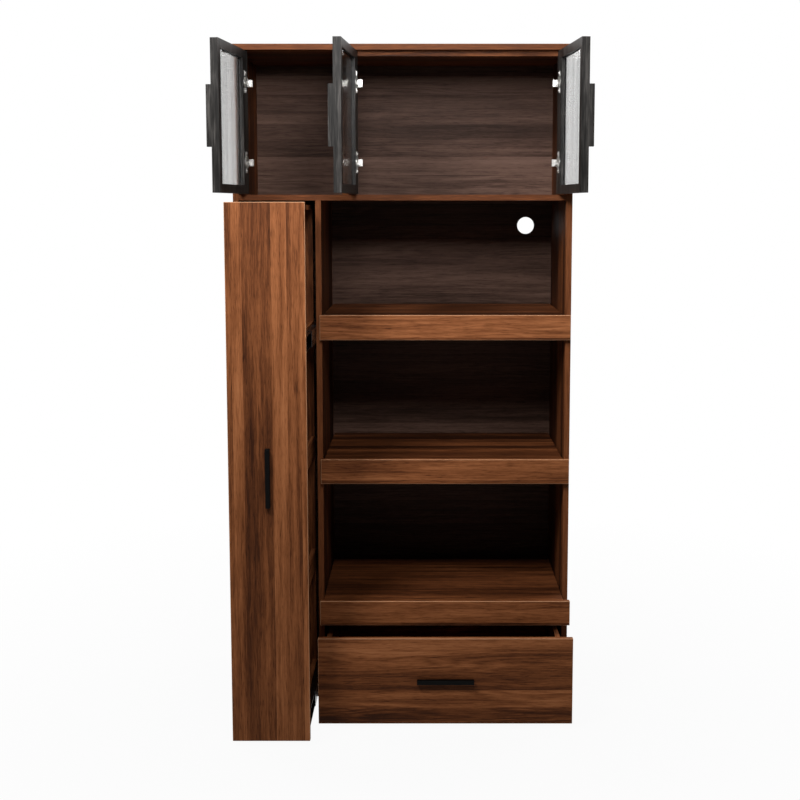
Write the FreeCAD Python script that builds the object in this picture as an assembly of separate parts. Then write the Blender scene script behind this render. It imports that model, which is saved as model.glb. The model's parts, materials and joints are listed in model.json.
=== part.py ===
"""Tall kitchen cabinet: glazed upper cupboards, a tall pull-out larder, sliding trays and a drawer.

Every moving group is modelled shut, in the carcass frame, and is then set to the opening it is shown at.
Carcass frame: X to the right, Y to the back with the front edges of the boards at Y = 0, Z up from the floor.
The finished model is moved so that its origin is the middle of its box, at floor level.
"""
import FreeCAD
import Part
import math
import os

Vector = FreeCAD.Vector

# Carcass, in millimetres
cabinet_width = 900.0
cabinet_depth = 400.0
cabinet_height = 1800.0
panel = 15.0
back_board = 5.0
back_recess = 10.0
glide_height = 5.0
glide_diameter = 22.0
glide_inset = 45.0
glide_sink = 3.0
bottom_lift = 20.0
upper_clear_height = 377.0
upper_left_width = 275.0
column_width = 203.0
cable_hole_diameter = 50.0
cable_hole_from_side = 77.0
cable_hole_drop = 72.0
stop_rail_height = 14.0
stop_rail_depth = 15.0
stop_rail_clearance = 1.0

# Fronts
front_thickness = 15.0
front_floor_gap = 18.0
front_bumper_gap = 1.0
front_over_divider = 5.0
front_edge_inset = 2.0
front_edge_round = 1.5

# Bar handles
handle_length = 150.0
handle_width = 11.0
handle_depth = 13.0
handle_grip = 4.0
handle_corner = 1.5

# Sliding trays
low_tray_top = 324.0
middle_tray_top = 698.0
high_tray_top = 1089.0
tray_board = 15.0
tray_side_gap = 4.0
tray_back_gap = 6.0
tray_batten = 15.0
tray_rail_gap = 1.0
tray_rail_height = 35.0
tray_rail_thickness = 10.0
tray_rail_length = 350.0

# Drawer
drawer_front_gap = 7.0
drawer_board = 12.0
drawer_base_board = 5.0
drawer_base_groove = 6.0
drawer_base_lift = 8.0
drawer_lift = 10.0
drawer_side_height = 180.0
drawer_box_depth = 350.0
drawer_rail_height = 45.0
drawer_rail_thickness = 12.7
drawer_rail_length = drawer_box_depth
drawer_rail_lift = 40.0

# Tall pull-out
pull_out_side_gap = 2.5
pull_out_top_gap = 5.0
pull_out_board = 12.0
pull_out_back_gap = 5.0
pull_out_top_drop = 7.0
pull_out_lift = 44.0
guard_height = 52.0
shelf_pitch = 322.0
shelf_count = 4
pull_out_rail_height = 46.0
pull_out_rail_thickness = 17.0
pull_out_rail_length = 350.0

# Rail sheet metal
rail_sheet = 1.2
rail_running_gap = 0.35

# Glazed doors
door_thickness = 20.0
door_gap = 2.5
door_meeting_gap = 3.0
hinge_stile = 47.0
free_stile = 20.0
door_rail = 22.0
glass_thickness = 4.0
glass_groove_depth = 6.0
glass_play = 0.2
flute_pitch = 7.5
flute_depth = 1.2

# Concealed hinges
hinge_from_end = 82.0
hinge_axis_inset = 12.0
hinge_axis_depth = 6.0
cup_diameter = 35.0
cup_wall = 1.0
cup_depth = 11.0
cup_from_edge = 22.5
cup_flange = 1.5
cup_flange_length = 56.0
cup_flange_width = 14.0
hinge_arm_reach = 38.0
hinge_arm_height = 18.0
hinge_arm_length = 48.0
hinge_plate = 4.0
hinge_plate_length = 46.0
hinge_plate_height = 44.0
hinge_nose_width = 3.6
hinge_nose_height = 12.0
hinge_nose_dip = 6.0
hinge_nose_play = 0.45
hinge_clearance = 3.0

# Openings at which the moving groups are shown, in millimetres and degrees
pull_out_open = 264.0
low_tray_open = 60.0
middle_tray_open = 0.0
high_tray_open = 0.0
drawer_open = 142.0
left_door_open = 96.9
middle_door_open = 95.0
right_door_open = 95.5

# Places worked out from the sizes above
half_width = cabinet_width / 2
inner_left = -half_width + panel
inner_right = half_width - panel
back_rear = cabinet_depth - back_recess
inner_depth = back_rear - back_board
top_under = cabinet_height - panel
middle_top = top_under - upper_clear_height
middle_under = middle_top - panel
bottom_top = bottom_lift + panel
divider_left = inner_left + column_width
divider_right = divider_left + panel
upper_divider_left = inner_left + upper_left_width
upper_divider_right = upper_divider_left + panel
fronts_left = divider_right - front_over_divider
fronts_right = half_width - front_edge_inset
tray_front_height = tray_board + 2 * tray_rail_gap + tray_rail_height + panel
tray_levels = {"low": low_tray_top, "middle": middle_tray_top, "high": high_tray_top}
door_low = middle_top + door_gap
door_high = top_under - door_gap
hinge_heights = (door_low + hinge_from_end, door_high - hinge_from_end)
edge_swing = math.hypot(hinge_axis_inset - door_gap, door_thickness - hinge_axis_depth)

nodes = {}


def box(x0, x1, y0, y1, z0, z1):
    """A block between two corners."""
    return Part.makeBox(x1 - x0, y1 - y0, z1 - z0, Vector(x0, y0, z0))


def flat_prism(points, along):
    """A closed outline of straight edges, pushed along a vector."""
    corners = [Vector(*p) for p in points]
    return Part.Face(Part.makePolygon(corners + corners[:1])).extrude(along)


def eased(shape, radius):
    """Rounds every edge of a simple solid a little."""
    return shape.makeFillet(radius, shape.Edges)


def mirrored(shape, x_plane):
    """The same shape on the other side of a plane of constant X."""
    return shape.mirror(Vector(x_plane, 0, 0), Vector(1, 0, 0))


def add(node, *solids):
    """Keeps solids under a node's name."""
    nodes.setdefault(node, []).extend(solids)


def shift(names, move):
    """Moves finished nodes by a vector."""
    for name in names:
        nodes[name] = [s.translated(move) for s in nodes[name]]


def turn(names, centre, degrees):
    """Turns finished nodes about an upright axis."""
    for name in names:
        turned = [s.copy() for s in nodes[name]]
        for solid in turned:
            solid.rotate(centre, Vector(0, 0, 1), degrees)
        nodes[name] = turned


def carcass():
    """Side, top, middle and bottom boards, dividers, backs, fixed shelves and feet."""
    add("left_side", box(-half_width, inner_left, 0, cabinet_depth, glide_height, top_under))
    add("right_side", box(inner_right, half_width, 0, cabinet_depth, glide_height, top_under))
    add("top_panel", box(-half_width, half_width, 0, cabinet_depth, top_under, cabinet_height))
    add("middle_panel", box(inner_left, inner_right, 0, back_rear, middle_under, middle_top))
    front_clear = front_thickness + tray_side_gap
    add("bottom_panel", box(inner_left, inner_right, front_clear, back_rear, bottom_lift, bottom_top))
    add("column_divider", box(divider_left, divider_right, 0, inner_depth, bottom_top, middle_under))
    add("upper_divider", box(upper_divider_left, upper_divider_right, 0, inner_depth, middle_top, top_under))
    add("upper_back_panel", box(inner_left, inner_right, inner_depth, back_rear, middle_top, top_under))
    lower_back = box(inner_left, inner_right, inner_depth, back_rear, bottom_top, middle_under)
    hole_place = Vector(inner_right - cable_hole_from_side, inner_depth, middle_under - cable_hole_drop)
    hole = Part.makeCylinder(cable_hole_diameter / 2, back_board, hole_place, Vector(0, 1, 0))
    add("lower_back_panel", lower_back.cut(hole))
    for level, top in tray_levels.items():
        under = top - tray_front_height
        add(f"{level}_fixed_shelf", box(divider_right, inner_right, 0, inner_depth, under, under + panel))
    rail_front = hinge_axis_depth + edge_swing + stop_rail_clearance
    add("door_stop_rail", box(upper_divider_right, inner_right, rail_front, rail_front + stop_rail_depth,
                              top_under - stop_rail_height, top_under))


def foot_glides():
    """Moulded glides under the two side boards."""
    for x in (-half_width + panel / 2, half_width - panel / 2):
        for y in (glide_inset, cabinet_depth - glide_inset):
            foot = Part.makeCone(panel / 2 - glide_sink / 2, panel / 2, glide_height, Vector(x, y, 0))
            along = box(x - panel / 2 + glide_sink / 2, x + panel / 2 - glide_sink / 2,
                        y - glide_diameter / 2, y + glide_diameter / 2, 0, glide_height)
            add("foot_glides", foot.fuse(along).removeSplitter())


def rail_section(height, thickness, depth_from, depth_to, web_at):
    """Outline of one folded rail: an upright web and two lips, as (across, up) boxes."""
    half = height / 2
    lip_from, lip_to = depth_from, depth_to
    web = (web_at, web_at + thickness, -half, half)
    return [web, (lip_from, lip_to, half - thickness, half), (lip_from, lip_to, -half, -half + thickness)]


def rail(wall_x, facing, section, y0, length, z):
    """A straight folded rail on a wall at wall_x, growing along facing (+1 or -1)."""
    pieces = []
    for a0, a1, u0, u1 in section:
        x0, x1 = sorted((wall_x + facing * a0, wall_x + facing * a1))
        pieces.append(box(x0, x1, y0, y0 + length, z + u0, z + u1))
    return pieces[0].fuse(pieces[1:]).removeSplitter()


def rail_set(height, space, members):
    """Sections of the nested rails in a side gap: two for a plain slide, three for a full extension."""
    step = rail_sheet + rail_running_gap
    sections = [rail_section(height, rail_sheet, 0, space - 2 * step, 0)]
    for k in range(1, members - 1):
        sections.append(rail_section(height - 2 * step * k, rail_sheet, step * k,
                                     space - 2 * step, step * k))
    inner_height = height - 2 * step * (members - 1)
    sections.append(rail_section(inner_height, rail_sheet, step * (members - 1), space, space - rail_sheet))
    return sections


def slides(names, left_wall, right_wall, height, space, length, y0, z):
    """A left and a right slide between two walls, one node for each member."""
    for name, section in zip(names, rail_set(height, space, len(names))):
        add(name, rail(left_wall, 1, section, y0, length, z), rail(right_wall, -1, section, y0, length, z))


def handle_bar():
    """Upright bar pull about the origin: back face at Y = 0, grip groove along its +X side."""
    w, d = handle_width / 2, handle_depth
    bar = box(-w, w, -d, 0, -handle_length / 2, handle_length / 2)
    front_edges = [e for e in bar.Edges if e.BoundBox.YMax < -d + 1e-6]
    bar = bar.makeFillet(handle_corner, front_edges)
    groove_at = Vector(w, -handle_grip, -handle_length / 2)
    groove = Part.makeCylinder(handle_grip - handle_corner, handle_length, groove_at, Vector(0, 0, 1))
    return bar.cut(groove)


def front_board(x0, x1, z0, z1, y1):
    """A front board with eased edges, its back face at y1."""
    return eased(box(x0, x1, y1 - front_thickness, y1, z0, z1), front_edge_round)


def tray(level, top):
    """A sliding tray: board, front and two battens that carry the inner rails."""
    board_under = top - tray_board
    back = -front_bumper_gap
    add(f"{level}_tray_front",
        front_board(fronts_left, fronts_right, top - tray_front_height, top, back))
    add(f"{level}_tray_board", box(divider_right + tray_side_gap, inner_right - tray_side_gap, back,
                                   inner_depth - tray_back_gap, board_under, top))
    batten_low = board_under - tray_rail_gap - tray_rail_height
    for x0 in (divider_right + tray_rail_thickness, inner_right - tray_rail_thickness - tray_batten):
        add(f"{level}_tray_battens", box(x0, x0 + tray_batten, back, tray_rail_length, batten_low, board_under))
    rail_z = batten_low + tray_rail_height / 2
    slides(("tray_outer_rails", f"{level}_tray_inner_rails"), divider_right, inner_right,
           tray_rail_height, tray_rail_thickness, tray_rail_length, 0, rail_z)


def drawer():
    """The drawer: front, two sides, back, base, handle and slides."""
    back = -front_bumper_gap
    front_top = low_tray_top - tray_front_height - drawer_front_gap
    add("drawer_front", front_board(fronts_left, fronts_right, front_floor_gap, front_top, back))
    left = divider_right + drawer_rail_thickness
    right = inner_right - drawer_rail_thickness
    low = bottom_top + drawer_lift
    high = low + drawer_side_height
    base_low = low + drawer_base_lift
    groove = box(left + drawer_board - drawer_base_groove, right - drawer_board + drawer_base_groove,
                 back, drawer_box_depth, base_low, base_low + drawer_base_board)
    add("drawer_left_side", box(left, left + drawer_board, back, drawer_box_depth, low, high).cut(groove))
    add("drawer_right_side", box(right - drawer_board, right, back, drawer_box_depth, low, high).cut(groove))
    add("drawer_base", groove)
    add("drawer_back", box(left + drawer_board, right - drawer_board, drawer_box_depth - drawer_board,
                           drawer_box_depth, base_low + drawer_base_board, high))
    bar = handle_bar()
    bar.rotate(Vector(), Vector(0, 1, 0), 90)
    place = Vector((fronts_left + fronts_right) / 2, back - front_thickness, (front_floor_gap + front_top) / 2)
    add("drawer_handle", bar.translated(place))
    slides(("drawer_outer_rails", "drawer_inner_rails"), divider_right, inner_right, drawer_rail_height,
           drawer_rail_thickness, drawer_rail_length, 0, low + drawer_rail_lift)


def pull_out():
    """The tall larder: inset front, back, top, base, shelves with side guards, handle and slides."""
    front_left = inner_left + pull_out_side_gap
    front_right = divider_left - pull_out_side_gap
    front_top = middle_under - pull_out_top_gap
    add("pull_out_front", front_board(front_left, front_right, front_floor_gap, front_top, front_thickness))
    left = inner_left + pull_out_rail_thickness
    right = divider_left - pull_out_rail_thickness
    rear = inner_depth - pull_out_back_gap
    back_front = rear - pull_out_board
    body_top = front_top - pull_out_top_drop
    add("pull_out_back", box(left, right, back_front, rear, pull_out_lift, body_top))
    add("pull_out_top", box(left, right, front_thickness, back_front, body_top - pull_out_board, body_top))
    inside_left, inside_right = left + pull_out_board, right - pull_out_board
    for k in range(shelf_count):
        low = pull_out_lift + k * shelf_pitch
        shelf = box(inside_left, inside_right, front_thickness, back_front, low, low + pull_out_board)
        add("pull_out_base" if k == 0 else "pull_out_shelves", shelf)
        for x0 in (left, inside_right):
            guard = box(x0, x0 + pull_out_board, front_thickness, back_front, low, low + guard_height)
            add("pull_out_guards", guard)
    for k in (0, shelf_count - 1):
        rail_z = pull_out_lift + k * shelf_pitch + guard_height / 2
        slides(("pull_out_outer_rails", "pull_out_mid_rails", "pull_out_inner_rails"), inner_left,
               divider_left, pull_out_rail_height, pull_out_rail_thickness, pull_out_rail_length,
               front_thickness, rail_z)
    place = Vector((front_left + front_right) / 2, 0, (front_floor_gap + front_top) / 2)
    add("pull_out_handle", handle_bar().translated(place))


def fluted_pane(x0, x1, z0, z1):
    """A pane with upright rounded flutes on its inner face."""
    back = (door_thickness - glass_thickness) / 2
    count = max(1, round((x1 - x0) / flute_pitch))
    pitch = (x1 - x0) / count
    valley = back + glass_thickness - flute_depth
    edges = []
    for k in range(count):
        a = x0 + k * pitch
        start, end = Vector(a, valley, z0), Vector(a + pitch, valley, z0)
        crown = Vector(a + pitch / 2, valley + flute_depth, z0)
        edges.append(Part.Arc(start, crown, end).toShape())
    edges.append(Part.makeLine(Vector(x1, valley, z0), Vector(x1, back, z0)))
    edges.append(Part.makeLine(Vector(x1, back, z0), Vector(x0, back, z0)))
    edges.append(Part.makeLine(Vector(x0, back, z0), Vector(x0, valley, z0)))
    return Part.Face(Part.Wire(edges)).extrude(Vector(0, 0, z1 - z0))


def hinge_cup(x, z):
    """A hinge cup sunk in the inner face of a stile, with its screw flange."""
    face = door_thickness
    radius = cup_diameter / 2
    cup = Part.makeCylinder(radius, cup_depth, Vector(x, face, z), Vector(0, -1, 0))
    flange = box(x - cup_flange_width / 2, x + cup_flange_width / 2, face, face + cup_flange,
                 z - cup_flange_length / 2, z + cup_flange_length / 2)
    rim = Part.makeCylinder(radius, cup_flange, Vector(x, face, z), Vector(0, 1, 0))
    hollow = Part.makeCylinder(radius - cup_wall, cup_depth - cup_wall + cup_flange,
                               Vector(x, face + cup_flange, z), Vector(0, -1, 0))
    return cup.fuse([flange, rim]).removeSplitter().cut(hollow)


def hinge_arm(wall_x, z):
    """A hinge arm on its mounting plate, standing on a wall that faces +X."""
    low, high = z - hinge_arm_height / 2, z + hinge_arm_height / 2
    front = door_thickness + cup_flange + hinge_clearance
    rear = front + hinge_arm_length
    crank = rear - hinge_arm_length / 2
    nose_low = door_thickness - hinge_nose_dip
    nose_swing = edge_swing + hinge_nose_play
    nose_at = hinge_axis_inset + math.sqrt(nose_swing ** 2 - (nose_low - hinge_axis_depth) ** 2)
    outline = [(hinge_plate, crank - hinge_clearance), (nose_at - 2 * hinge_nose_width, front),
               (hinge_arm_reach, front), (hinge_arm_reach, front + hinge_plate_length / 3),
               (hinge_plate * 4, crank + hinge_clearance), (hinge_plate * 3, rear), (hinge_plate, rear)]
    arm = flat_prism([(wall_x + a, y, low) for a, y in outline], Vector(0, 0, high - low))
    nose = box(wall_x + nose_at, wall_x + nose_at + hinge_nose_width, nose_low, front,
               z - hinge_nose_height / 2, z + hinge_nose_height / 2)
    plate = box(wall_x, wall_x + hinge_plate, rear - hinge_plate_length + hinge_clearance, rear + hinge_clearance,
                z - hinge_plate_height / 2, z + hinge_plate_height / 2)
    return arm.fuse([nose, plate]).removeSplitter()


def door(name, wall_x, width, on_right):
    """A glazed door in its opening, hung on the wall at wall_x, drawn with the hinge on the left."""
    x0 = wall_x + door_gap
    x1 = x0 + width
    face_in = door_thickness
    glass_x = (x0 + hinge_stile - glass_groove_depth, x1 - free_stile + glass_groove_depth)
    glass_z = (door_low + door_rail - glass_groove_depth, door_high - door_rail + glass_groove_depth)
    slot = box(*glass_x, (face_in - glass_thickness) / 2 - glass_play,
               (face_in + glass_thickness) / 2 + glass_play, *glass_z)
    cups = [hinge_cup(x0 + cup_from_edge, z) for z in hinge_heights]
    stile = box(x0, x0 + hinge_stile, 0, face_in, door_low, door_high).cut(slot)
    for z in hinge_heights:
        pocket = Part.makeCylinder(cup_diameter / 2, cup_depth, Vector(x0 + cup_from_edge, face_in, z),
                                   Vector(0, -1, 0))
        stile = stile.cut(pocket)
    rail_ends = (x0 + hinge_stile, x1 - free_stile)
    frame = [stile, box(x1 - free_stile, x1, 0, face_in, door_low, door_high).cut(slot),
             box(*rail_ends, 0, face_in, door_high - door_rail, door_high).cut(slot),
             box(*rail_ends, 0, face_in, door_low, door_low + door_rail).cut(slot)]
    pane = fluted_pane(glass_x[0] + glass_play, glass_x[1] - glass_play, glass_z[0] + glass_play,
                       glass_z[1] - glass_play)
    bar = mirrored(handle_bar(), 0).translated(Vector(x1 - handle_width / 2, 0, (door_low + door_high) / 2))
    arms = [hinge_arm(wall_x, z) for z in hinge_heights]
    groups = {f"{name}_frame": frame, f"{name}_glass": [pane], f"{name}_handle": [bar],
              f"{name}_hinge_cups": cups, "hinge_arms": arms}
    for node, solids in groups.items():
        add(node, *(mirrored(s, wall_x) for s in solids) if on_right else solids)
    axis_x = wall_x - hinge_axis_inset if on_right else wall_x + hinge_axis_inset
    return Vector(axis_x, hinge_axis_depth, 0)


def hang_doors():
    """Hangs the three doors and opens them; gives back each hinge axis."""
    single = upper_left_width - 2 * door_gap
    double = (inner_right - upper_divider_right - 2 * door_gap - door_meeting_gap) / 2
    plan = {"left_door": (inner_left, single, False, -left_door_open),
            "middle_door": (upper_divider_right, double, False, -middle_door_open),
            "right_door": (inner_right, double, True, right_door_open)}
    axes = {}
    for name, (wall_x, width, on_right, angle) in plan.items():
        axes[name] = door(name, wall_x, width, on_right)
        turn([n for n in nodes if n.startswith(name)], axes[name], angle)
    return axes


def open_slides():
    """Sets the trays, the drawer and the pull-out to their shown openings."""
    tray_open = {"low": low_tray_open, "middle": middle_tray_open, "high": high_tray_open}
    for level, travel in tray_open.items():
        shift([n for n in nodes if n.startswith(f"{level}_tray")], Vector(0, -travel, 0))
    fixed = ("drawer_outer_rails", "pull_out_outer_rails")
    shift([n for n in nodes if n.startswith("drawer") and n not in fixed], Vector(0, -drawer_open, 0))
    half_way = ["pull_out_mid_rails"]
    shift(half_way, Vector(0, -pull_out_open / 2, 0))
    whole_way = [n for n in nodes if n.startswith("pull_out") and n not in fixed and n not in half_way]
    shift(whole_way, Vector(0, -pull_out_open, 0))


def build():
    """Makes every node and moves the model onto its origin; gives back the hinge axes and that move."""
    carcass()
    foot_glides()
    for level, top in tray_levels.items():
        tray(level, top)
    drawer()
    pull_out()
    axes = hang_doors()
    open_slides()
    whole = Part.makeCompound([s for solids in nodes.values() for s in solids]).BoundBox
    to_origin = Vector(-whole.Center.x, -whole.Center.y, 0)
    shift(list(nodes), to_origin)
    return axes, to_origin


hinge_axes, origin_move = build()

if __name__ == "__main__":
    os.makedirs("parts", exist_ok=True)
    for node, solids in nodes.items():
        Part.makeCompound(solids).exportStep(os.path.join("parts", node + ".step"))
    print(len(nodes), "nodes;", sum(len(s) for s in nodes.values()), "solids; origin moved by", origin_move)
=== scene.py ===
"""Looks of the tall kitchen cabinet: walnut boards, charcoal doors with reeded glass, black bar handles.

Every size is in metres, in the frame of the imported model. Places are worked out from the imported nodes.
"""
import json
import math

import bmesh
import bpy
from mathutils import Matrix, Vector


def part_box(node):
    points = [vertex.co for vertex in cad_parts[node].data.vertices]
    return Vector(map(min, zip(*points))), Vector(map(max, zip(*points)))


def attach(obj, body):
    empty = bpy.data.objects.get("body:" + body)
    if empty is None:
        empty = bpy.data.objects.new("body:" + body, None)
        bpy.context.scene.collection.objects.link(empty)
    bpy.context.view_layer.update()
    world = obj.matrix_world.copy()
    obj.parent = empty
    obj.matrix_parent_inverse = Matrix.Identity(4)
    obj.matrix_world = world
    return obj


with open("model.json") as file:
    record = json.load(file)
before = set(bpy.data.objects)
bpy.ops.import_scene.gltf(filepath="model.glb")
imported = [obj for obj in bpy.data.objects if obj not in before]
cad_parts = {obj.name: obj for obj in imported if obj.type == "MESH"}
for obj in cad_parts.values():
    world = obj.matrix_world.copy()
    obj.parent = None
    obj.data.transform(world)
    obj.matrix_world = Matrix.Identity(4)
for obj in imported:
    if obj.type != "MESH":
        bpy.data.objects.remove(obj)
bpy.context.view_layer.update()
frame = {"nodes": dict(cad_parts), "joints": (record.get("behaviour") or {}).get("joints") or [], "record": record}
nodes = frame["nodes"]

# Places read from the frame
carcass_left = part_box("left_side")[0].x
carcass_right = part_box("right_side")[1].x
carcass_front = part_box("left_side")[0].y
centre_x = (carcass_left + carcass_right) / 2

# Camera, fitted to the photograph: a tilt and a small lens shift stand for its larger shift
image_size = 800
camera_distance = 3.256
camera_right = 0.056
camera_height = 1.377
camera_tilt = math.radians(6.24)
focal_pixels = 1221
shift_right = -0.0298
shift_up = -0.075
sensor = 36.0

# Lights: place and target measured from the middle of the carcass front at floor level, size, watts
softboxes = {"key": ((-1.15, -1.55, 2.90), (0.0, 0.0, 2.15), 0.6, 62.0),
             "front": ((0.06, -1.50, 2.08), (0.0, 0.0, 2.30), 0.5, 29.0),
             "back_left": ((-2.6, 1.5, 1.9), (0.0, 0.4, 0.9), 1.6, 70.0),
             "back_right": ((2.6, 1.5, 1.9), (0.0, 0.4, 0.9), 1.6, 70.0)}
ambient = 0.036
room_glow = 0.10
floor_size = 30.0
floor_grey = (0.35, 0.35, 0.35, 1)
floor_white_near = 0.95
fade_start = 0.5
fade_end = 2.2

# Hinge screws: places on the cups, wall plates and arms of the concealed hinges
screw_radius = 0.0032
screw_sides = 24
flange_half = 0.0280
flange_screw = 0.0226
cup_across = 0.0130
cup_face = 0.0155
plate_face = 0.0040
plate_screw = 0.0155
plate_screw_depth = 0.0525
arm_face = 0.0140
arm_screw_depth = 0.0620
arm_slope = (0.982, 0.187)

# Walnut palettes, from the dark pores to the light streaks
walnut_tones = ((0.032, 0.0092, 0.0032), (0.098, 0.0300, 0.0098), (0.198, 0.0655, 0.0222),
                (0.308, 0.1110, 0.0410), (0.408, 0.1620, 0.0660))
back_tones = ((0.030, 0.0155, 0.0105), (0.062, 0.033, 0.0235), (0.102, 0.0570, 0.0415),
              (0.138, 0.0800, 0.0600), (0.176, 0.1050, 0.0800))
# Painted highlight: the light tan laid on the eased edges of the boards, where real edges catch the light
painted_highlight_colour = (0.70, 0.40, 0.23, 1)
tone_stops = (0.12, 0.34, 0.53, 0.72, 0.94)

# Layers of the wood print: length and width in metres, detail, roughness, distortion
figure_grain = (0.60, 0.050, 1.5, 0.45, 0.5)
cloud_grain = (0.24, 0.030, 1.5, 0.5, 0.8)
streak_grain = (0.60, 0.0150, 2.0, 0.52, 0.3)
fine_grain = (0.050, 0.0027, 2.5, 0.70)
ring_grain = (0.32, 0.0100, 2.0, 0.55, 0.25)
fleck_grain = (0.022, 0.0034, 1.5, 0.5)
pore_grain = (0.026, 0.0016, 1.0, 0.5)

# How much each layer of the print shifts the tone
plank_weight = 0.34
figure_weight = 0.36
cloud_weight = 0.26
streak_weight = 0.58
fine_weight = 0.44
line_weight = -0.12
fleck_weight = -0.06
pore_weight = -0.15
strip_weight = 0.5
# Painted highlight: how far the eased edges are lightened toward that light tan
painted_edge_highlight = 0.75

# Waves of the print: shift of the noise from plank to plank, flame rings, sideways drift in metres
plank_slip = 37.0
flame_rings = 62.0
drift_width = 0.015


def new_material(name):
    """A material and its empty graph."""
    material = bpy.data.materials.new(name)
    material.use_nodes = True
    return material, Graph(material.node_tree)


def rgba(colour):
    """A linear colour with full alpha."""
    return (*colour[:3], 1.0)


class Graph:
    """A node tree, emptied, with short calls for the nodes used here."""

    def __init__(self, tree):
        self.tree = tree
        tree.nodes.clear()
        for_world = any(world.node_tree == tree for world in bpy.data.worlds)
        self.output = self.node("OutputWorld" if for_world else "OutputMaterial")

    def link(self, source, target):
        self.tree.links.new(source, target)

    def node(self, kind, **settings):
        made = self.tree.nodes.new("ShaderNode" + kind)
        for key, value in settings.items():
            setattr(made, key, value)
        return made

    def feed(self, target, value):
        if isinstance(value, bpy.types.NodeSocket):
            self.link(value, target)
        else:
            target.default_value = value

    def math(self, operation, a, b=0.0, c=0.0):
        made = self.node("Math", operation=operation)
        for target, value in zip(made.inputs, (a, b, c)):
            self.feed(target, value)
        return made.outputs[0]

    def combine(self, x, y, z):
        made = self.node("CombineXYZ")
        for target, value in zip(made.inputs, (x, y, z)):
            self.feed(target, value)
        return made.outputs[0]

    def noise(self, vector, scale=1.0, detail=2.0, roughness=0.5, distortion=0.0):
        made = self.node("TexNoise")
        self.link(vector, made.inputs["Vector"])
        made.inputs["Scale"].default_value = scale
        made.inputs["Detail"].default_value = detail
        made.inputs["Roughness"].default_value = roughness
        made.inputs["Distortion"].default_value = distortion
        return made.outputs["Fac"]

    def remap(self, value, low, high, to_low, to_high):
        made = self.node("MapRange")
        self.feed(made.inputs["Value"], value)
        for key, number in (("From Min", low), ("From Max", high), ("To Min", to_low), ("To Max", to_high)):
            made.inputs[key].default_value = number
        return made.outputs["Result"]

    def ramp(self, value, stops):
        made = self.node("ValToRGB")
        self.feed(made.inputs["Fac"], value)
        band = made.color_ramp
        while len(band.elements) < len(stops):
            band.elements.new(0.5)
        for element, (place, colour) in zip(band.elements, stops):
            element.position = place
            element.color = rgba(colour)
        return made.outputs["Color"]

    def mix(self, factor, a, b):
        made = self.node("Mix", data_type="RGBA")
        self.feed(made.inputs[0], factor)
        self.feed(made.inputs[6], a)
        self.feed(made.inputs[7], b)
        return made.outputs[2]

    def bump(self, height, strength, distance):
        made = self.node("Bump")
        made.inputs["Strength"].default_value = strength
        made.inputs["Distance"].default_value = distance
        self.link(height, made.inputs["Height"])
        return made.outputs["Normal"]

    def edge_mask(self):
        """1 on the eased edges of a square piece, which face none of its three axes; 0 on its flats."""
        split = self.node("SeparateXYZ")
        self.link(self.node("TexCoord").outputs["Normal"], split.inputs[0])
        x, y, z = (self.math("ABSOLUTE", axis) for axis in split.outputs)
        return self.remap(self.math("MAXIMUM", self.math("MAXIMUM", x, y), z), 0.90, 0.99, 1.0, 0.0)

    def front_mask(self):
        """1 on the faces that look to the front of the piece, 0 elsewhere."""
        split = self.node("SeparateXYZ")
        self.link(self.node("TexCoord").outputs["Normal"], split.inputs[0])
        return self.remap(split.outputs["Y"], -0.95, -0.80, 1.0, 0.0)

    def surface(self, **values):
        shader = self.node("BsdfPrincipled")
        for key, value in values.items():
            self.feed(shader.inputs[key.replace("_", " ")], value)
        self.link(shader.outputs[0], self.output.inputs["Surface"])
        return shader


def object_axes(graph):
    """The piece's own X, Y and Z, which ride with it."""
    split = graph.node("SeparateXYZ")
    graph.link(graph.node("TexCoord").outputs["Object"], split.inputs[0])
    return split.outputs


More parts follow.
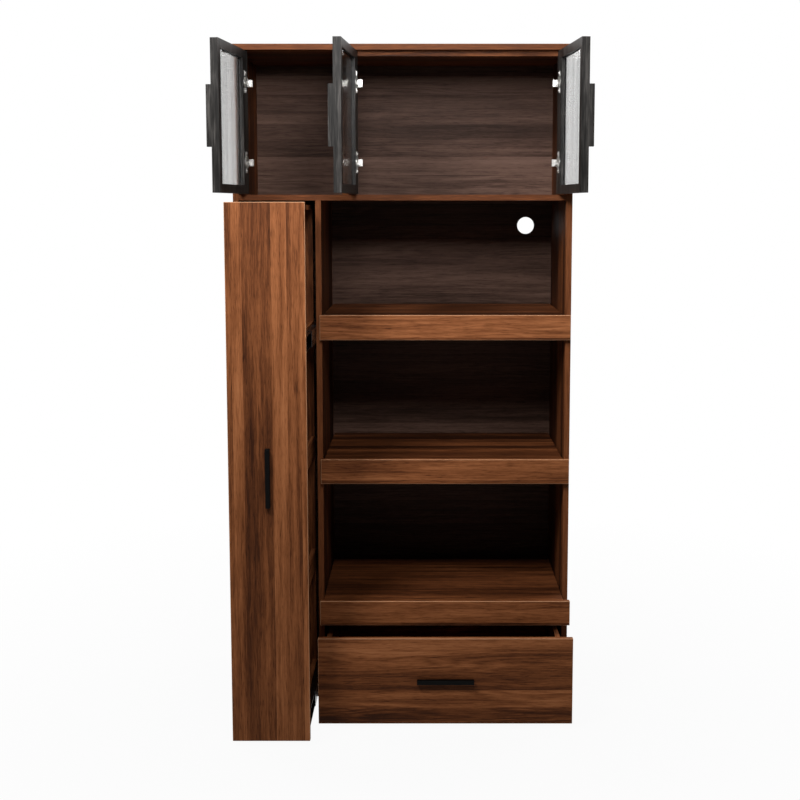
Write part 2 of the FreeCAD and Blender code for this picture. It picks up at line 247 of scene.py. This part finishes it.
def wood(name, grain_axis, tones, seed, plank_width, level, highlight_lift=0.0, front_band=None):
    """Printed wood board: planks of uneven width and tone, flame figure, fine grain, pores, and a painted
    highlight on the eased edges.

    The level is the middle tone. A front band gives the faces that look forward the tone of an edge strip.
    """
    material, graph = new_material(name)
    axes = object_axes(graph)
    order = {"X": (0, 1, 2), "Y": (1, 0, 2), "Z": (2, 0, 1)}[grain_axis]
    along = axes[order[0]]
    across = graph.math("ADD", axes[order[1]], axes[order[2]])
    plank = graph.node("TexVoronoi", voronoi_dimensions="1D")
    graph.link(graph.math("ADD", across, seed), plank.inputs["W"])
    plank.inputs["Scale"].default_value = 1 / plank_width
    chance = graph.node("SeparateColor")
    graph.link(plank.outputs["Color"], chance.inputs[0])
    tone_of_plank, flame_of_plank, slip_of_plank = chance.outputs
    slip = graph.math("MULTIPLY", slip_of_plank, plank_slip)

    drift = graph.noise(graph.combine(graph.math("MULTIPLY_ADD", along, 3.2, slip),
                                      graph.math("MULTIPLY", across, 9.0), slip), 1.0, 1.5)
    wavy = graph.math("MULTIPLY_ADD", graph.math("SUBTRACT", drift, 0.5), drift_width, across)

    def grain(length, width, detail, roughness, distortion=0.0):
        """Noise drawn out along the grain; length and width are its size in metres."""
        vector = graph.combine(graph.math("MULTIPLY_ADD", along, 1 / length, slip),
                               graph.math("MULTIPLY_ADD", wavy, 1 / width, slip), slip)
        return graph.noise(vector, 1.0, detail, roughness, distortion)

    figure = grain(*figure_grain)
    rings = graph.math("SINE", graph.math("MULTIPLY", figure, flame_rings))
    flame = graph.math("MULTIPLY", rings, graph.remap(flame_of_plank, 0.30, 0.75, 0.015, 0.075))
    cloud = grain(*cloud_grain)
    streak = grain(*streak_grain)
    fine = grain(*fine_grain)
    ring_noise = graph.math("SUBTRACT", grain(*ring_grain), 0.5)
    lines = graph.remap(graph.math("ABSOLUTE", ring_noise), 0.0, 0.05, 1.0, 0.0)
    flecks = graph.remap(grain(*fleck_grain), 0.56, 0.72, 0.0, 1.0)
    pores = graph.remap(grain(*pore_grain), 0.58, 0.68, 0.0, 1.0)
    tone = graph.math("MULTIPLY_ADD", graph.math("SUBTRACT", tone_of_plank, 0.5), plank_weight, level)
    for part, weight in ((figure, figure_weight), (cloud, cloud_weight), (streak, streak_weight),
                         (fine, fine_weight)):
        tone = graph.math("MULTIPLY_ADD", graph.math("SUBTRACT", part, 0.5), weight, tone)
    tone = graph.math("ADD", tone, flame)
    for mark, weight in ((lines, line_weight), (flecks, fleck_weight), (pores, pore_weight)):
        tone = graph.math("MULTIPLY_ADD", mark, weight, tone)
    if front_band:
        strip = graph.math("MULTIPLY_ADD", graph.math("SUBTRACT", fine, 0.5), strip_weight, front_band)
        tone = graph.math("MULTIPLY_ADD", graph.math("SUBTRACT", strip, tone), graph.front_mask(), tone)
    colour = graph.ramp(tone, list(zip(tone_stops, tones)))
    # Painted highlight: the eased edges are lightened toward a light tan, as if they caught the light
    if highlight_lift:
        edge = graph.edge_mask()
        colour = graph.mix(graph.math("MULTIPLY", edge, highlight_lift), colour, painted_highlight_colour)
    height = graph.math("MULTIPLY_ADD", pores, -0.6, fine)
    graph.surface(Base_Color=colour, Roughness=graph.remap(fine, 0.3, 0.7, 0.50, 0.62),
                  Specular_IOR_Level=0.09, Normal=graph.bump(height, 0.22, 0.0005))
    return material


def charcoal(name):
    """Charcoal wood-grain foil on the door frames, with upright grain."""
    material, graph = new_material(name)
    x, y, along = object_axes(graph)
    across = graph.math("ADD", x, y)
    fine = graph.noise(graph.combine(graph.math("MULTIPLY", along, 14.0),
                                     graph.math("MULTIPLY", across, 260.0), 0.0), 1.0, 3.0, 0.7)
    cloud = graph.noise(graph.combine(graph.math("MULTIPLY", along, 5.0),
                                      graph.math("MULTIPLY", across, 60.0), 3.0), 1.0, 2.0)
    tone = graph.math("MULTIPLY_ADD", cloud, 0.4, graph.math("MULTIPLY", fine, 0.6))
    colour = graph.ramp(tone, [(0.36, (0.004, 0.0037, 0.0034)), (0.50, (0.015, 0.0137, 0.0127)),
                               (0.64, (0.055, 0.0505, 0.047))])
    graph.surface(Base_Color=colour, Roughness=graph.remap(fine, 0.3, 0.7, 0.36, 0.50),
                  Specular_IOR_Level=0.18, Normal=graph.bump(fine, 0.25, 0.0004))
    return material


def reeded_glass():
    """Clear reeded glass with a faint grey body; the reeds are in the mesh."""
    material, graph = new_material("reeded_glass")
    axes = object_axes(graph)
    film = graph.noise(graph.combine(*(graph.math("MULTIPLY", axis, scale)
                                       for axis, scale in zip(axes, (8.0, 105.0, 0.9)))), 1.0, 2.0, 0.6)
    graph.surface(Base_Color=graph.ramp(film, [(0.42, (0.60, 0.605, 0.60)), (0.50, (0.84, 0.845, 0.835)),
                                               (0.58, (0.97, 0.97, 0.96))]),
                  Roughness=graph.remap(film, 0.3, 0.7, 0.03, 0.07), IOR=1.45, Transmission_Weight=1.0)
    return material


def metal(name, low, high, rough_low, rough_high, stretch):
    """Plated metal with faint drawn lines along one axis."""
    material, graph = new_material(name)
    axes = object_axes(graph)
    lines = graph.noise(graph.combine(*(graph.math("MULTIPLY", axis, scale)
                                        for axis, scale in zip(axes, stretch))), 1.0, 3.0, 0.6)
    graph.surface(Base_Color=graph.ramp(lines, [(0.3, low), (0.7, high)]), Metallic=1.0,
                  Roughness=graph.remap(lines, 0.3, 0.7, rough_low, rough_high),
                  Normal=graph.bump(lines, 0.08, 0.0003))
    return material


def coated(name, low, high, roughness, grain):
    """Matt powder coat or moulded plastic with a fine texture."""
    material, graph = new_material(name)
    vector = graph.node("TexCoord").outputs["Object"]
    speckle = graph.noise(vector, grain, 3.0, 0.6)
    graph.surface(Base_Color=graph.ramp(speckle, [(0.35, low), (0.65, high)]),
                  Roughness=graph.remap(speckle, 0.3, 0.7, roughness - 0.06, roughness + 0.06),
                  Specular_IOR_Level=0.06, Normal=graph.bump(speckle, 0.12, 0.0002))
    return material


def paint(names, material):
    """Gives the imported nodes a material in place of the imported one."""
    for name in names:
        data = nodes[name].data
        data.materials.clear()
        data.materials.append(material)


def dress_frame():
    """One material for each kind of board and fitting, with the grain the way the boards run."""
    walnut = {axis: wood("walnut_" + axis.lower(), axis, walnut_tones, seed, width, level, painted_edge_highlight)
              for axis, seed, width, level in (("Z", 24.99, 0.034, 0.50), ("X", 30.06, 0.048, 0.52),
                                               ("Y", 5.2, 0.040, 0.52))}
    # Carcass and shelf boards are printed darker than the other boards (level 0.28 and 0.31 against 0.50 to 0.52).
    # This darkness is partly painted shade of the cabinet's inside. Their forward faces get a lighter front band.
    carcass = wood("walnut_carcass_with_painted_shade", "Z", walnut_tones, 12.7, 0.046, 0.28, painted_edge_highlight, 0.43)
    shelf = wood("walnut_shelf_with_painted_shade", "X", walnut_tones, 9.6, 0.048, 0.31, painted_edge_highlight, 0.34)
    sides = ("left_side", "right_side", "column_divider", "upper_divider")
    shelves = ("top_panel", "middle_panel", "bottom_panel", "low_fixed_shelf", "middle_fixed_shelf",
               "high_fixed_shelf", "low_tray_board", "middle_tray_board", "high_tray_board")
    upright = ("pull_out_front", "pull_out_back")
    deep = ("drawer_left_side", "drawer_right_side", "pull_out_guards", "low_tray_battens",
            "middle_tray_battens", "high_tray_battens")
    backs = ("upper_back_panel", "lower_back_panel")
    paint(sides, carcass)
    paint(shelves, shelf)
    paint(upright, walnut["Z"])
    paint(deep, walnut["Y"])
    paint(backs, wood("back_print", "X", back_tones, 1.7, 0.060, 0.52))
    slots = {row["node"]: row["material_slot"] for row in frame["record"]["subparts"]}
    placed = sides + shelves + upright + deep
    paint([n for n, slot in slots.items() if slot == "walnut" and n not in placed], walnut["X"])
    by_slot = {"charcoal_frame": charcoal("charcoal_frame"), "reeded_glass": reeded_glass(),
               "black_handle": coated("black_handle", (0.0012, 0.0012, 0.0012), (0.003, 0.003, 0.003),
                                      0.5, 900.0),
               "glide_plastic": coated("glide_plastic", (0.02, 0.02, 0.02), (0.04, 0.04, 0.04), 0.6, 500.0),
               "slide_steel": metal("slide_steel", (0.05, 0.05, 0.052), (0.12, 0.12, 0.125), 0.22, 0.36,
                                    (700.0, 8.0, 700.0)),
               "hinge_nickel": metal("hinge_nickel", (0.52, 0.51, 0.49), (0.68, 0.665, 0.64), 0.26, 0.38,
                                     (60.0, 60.0, 900.0))}
    for slot, material in by_slot.items():
        paint([n for n, s in slots.items() if s == slot], material)
    fit_hinge_screws(by_slot["hinge_nickel"])


def screw_head(mesh, place, facing, radius, turn):
    """Adds one pan-head screw with a cross recess to a bmesh; its base sits at place, turned to facing."""
    height = 0.42 * radius
    arm = 0.62 * radius
    half = 0.15 * radius
    deep = 0.30 * radius
    brow_radius = 0.84 * radius
    swing = Matrix.Translation(place) @ facing.to_track_quat("Z", "Y").to_matrix().to_4x4()
    swing = swing @ Matrix.Rotation(turn, 4, "Z")

    def loop(points, z):
        return [mesh.verts.new(swing @ Vector((x, y, z))) for x, y in points]

    def circle(size):
        angles = [step * math.tau / screw_sides for step in range(screw_sides)]
        return [(size * math.cos(angle), size * math.sin(angle)) for angle in angles]

    def wall(first, second):
        for step in range(len(first)):
            following = (step + 1) % len(first)
            mesh.faces.new((first[step], first[following], second[following], second[step]))

    cross = [(half, half), (half, arm), (-half, arm), (-half, half), (-arm, half), (-arm, -half),
             (-half, -half), (-half, -arm), (half, -arm), (half, -half), (arm, -half), (arm, half)]
    base = loop(circle(radius), 0.0)
    rim = loop(circle(radius), 0.5 * height)
    brow = loop(circle(brow_radius), height)
    mouth = loop(cross, height)
    floor = loop(cross, height - deep)
    wall(base, rim)
    wall(rim, brow)
    wall(mouth, floor)
    mesh.faces.new(floor)
    edges = [mesh.edges.get((ring[step - 1], ring[step])) or mesh.edges.new((ring[step - 1], ring[step]))
             for ring in (brow, mouth) for step in range(len(ring))]
    bmesh.ops.triangle_fill(mesh, use_beauty=True, use_dissolve=False, edges=edges)


def add_screws(name, body, screws, material):
    """One piece that holds all the screw heads of a body."""
    made = bmesh.new()
    for number, (place, facing, radius) in enumerate(screws):
        screw_head(made, Vector(place), Vector(facing).normalized(), radius, 0.35 + 1.1 * number)
    bmesh.ops.recalc_face_normals(made, faces=made.faces)
    mesh = bpy.data.meshes.new(name)
    made.to_mesh(mesh)
    made.free()
    mesh.materials.append(material)
    piece = bpy.data.objects.new(name, mesh)
    bpy.context.scene.collection.objects.link(piece)
    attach(piece, body)


def fit_hinge_screws(material):
    """Two screws in each cup flange, two in each wall plate and one adjuster on each arm."""
    on_walls = []
    doors = (("left_door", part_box("left_side")[1].x, 1), ("middle_door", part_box("upper_divider")[1].x, 1),
             ("right_door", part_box("right_side")[0].x, -1))
    for door, wall_x, inward in doors:
        joint = next(row for row in frame["joints"] if row["child"] == door)
        opened = math.radians(max(abs(limit) for limit in joint["range_deg"]))
        axis = Vector(joint["pos_m"])
        cups_low, cups_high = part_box(door + "_hinge_cups")
        heights = (cups_low.z + flange_half, cups_high.z - flange_half)
        facing = Vector((inward * math.sin(opened), math.cos(opened), 0))
        along = Vector((inward * math.cos(opened), -math.sin(opened), 0))
        centre = axis + along * cup_across + facing * cup_face
        on_door = []
        for height in heights:
            for step in (-1, 1):
                on_door.append(((centre.x, centre.y, height + step * flange_screw), facing, screw_radius))
                on_walls.append(((wall_x + inward * plate_face, carcass_front + plate_screw_depth,
                                  height + step * plate_screw), (inward, 0, 0), screw_radius))
            on_walls.append(((wall_x + inward * arm_face, carcass_front + arm_screw_depth, height),
                             (inward * arm_slope[0], arm_slope[1], 0), 0.8 * screw_radius))
        add_screws(door + "_hinge_screws", door, on_door, material)
    add_screws("hinge_arm_screws", "carcass", on_walls, material)


def set_camera():
    """A view close to the photograph's."""
    data = bpy.data.cameras.new("view")
    camera = bpy.data.objects.new("view", data)
    bpy.context.scene.collection.objects.link(camera)
    camera.location = (centre_x + camera_right, carcass_front - camera_distance, camera_height)
    camera.rotation_euler = (math.pi / 2 - camera_tilt, 0, 0)
    data.sensor_width = sensor
    data.lens = focal_pixels / image_size * sensor
    data.shift_x = shift_right
    data.shift_y = shift_up
    bpy.context.scene.camera = camera


def softbox(name, place, target, size, power):
    """A square area light that looks at a point; both are measured from the carcass front."""
    data = bpy.data.lights.new(name, "AREA")
    data.shape = "SQUARE"
    data.size = size
    data.energy = power
    lamp = bpy.data.objects.new(name, data)
    lamp.visible_camera = False
    lamp.visible_transmission = False
    bpy.context.scene.collection.objects.link(lamp)
    origin = Vector((centre_x, carcass_front, 0))
    lamp.location = origin + Vector(place)
    lamp.rotation_euler = (Vector(target) - Vector(place)).to_track_quat("-Z", "Y").to_euler()


def ray_share(graph, *keys):
    """1 for rays of these kinds, 0 for the others."""
    path = graph.node("LightPath")
    share = 0.0
    for key in keys:
        share = graph.math("MAXIMUM", path.outputs[key], share)
    return share


def set_world():
    """A white backdrop all round where it is seen; the room before the object is dim in reflections."""
    world = bpy.data.worlds.new("studio")
    bpy.context.scene.world = world
    world.use_nodes = True
    graph = Graph(world.node_tree)
    background = graph.node("Background")
    background.inputs["Color"].default_value = (1, 1, 1, 1)
    split = graph.node("SeparateXYZ")
    graph.link(graph.node("TexCoord").outputs["Generated"], split.inputs[0])
    mirrored = graph.remap(split.outputs["Y"], -0.35, 0.15, room_glow, 1.0)
    strength = graph.math("MAXIMUM", ray_share(graph, "Is Camera Ray", "Is Transmission Ray"), ambient)
    shine = graph.math("MULTIPLY", ray_share(graph, "Is Glossy Ray"), mirrored)
    graph.link(graph.math("MAXIMUM", strength, shine), background.inputs["Strength"])
    graph.link(background.outputs[0], graph.output.inputs["Surface"])


def set_floor():
    """A plain white floor that still takes a faint shadow near the object."""
    half = floor_size / 2
    mesh = bpy.data.meshes.new("floor")
    corners = [(-half, -half, 0), (half, -half, 0), (half, half, 0), (-half, half, 0)]
    mesh.from_pydata(corners, [], [(0, 1, 2, 3)])
    floor = bpy.data.objects.new("floor", mesh)
    bpy.context.scene.collection.objects.link(floor)
    material, graph = new_material("floor_white")
    mesh.materials.append(material)
    paper = graph.node("BsdfDiffuse")
    paper.inputs["Color"].default_value = floor_grey
    glow = graph.node("Emission")
    glow.inputs["Color"].default_value = (1, 1, 1, 1)
    reach = graph.node("VectorMath", operation="LENGTH")
    graph.link(graph.node("TexCoord").outputs["Object"], reach.inputs[0])
    white = graph.remap(reach.outputs["Value"], fade_start, fade_end, floor_white_near, 1.0)
    blend = graph.node("MixShader")
    seen = ray_share(graph, "Is Camera Ray", "Is Glossy Ray", "Is Transmission Ray")
    graph.link(graph.math("MULTIPLY", seen, white), blend.inputs[0])
    graph.link(paper.outputs[0], blend.inputs[1])
    graph.link(glow.outputs[0], blend.inputs[2])
    graph.link(blend.outputs[0], graph.output.inputs["Surface"])


dress_frame()
set_camera()
for lamp_name, lamp_settings in softboxes.items():
    softbox(lamp_name, *lamp_settings)
set_world()
set_floor()
bpy.context.scene.view_settings.view_transform = "Standard"
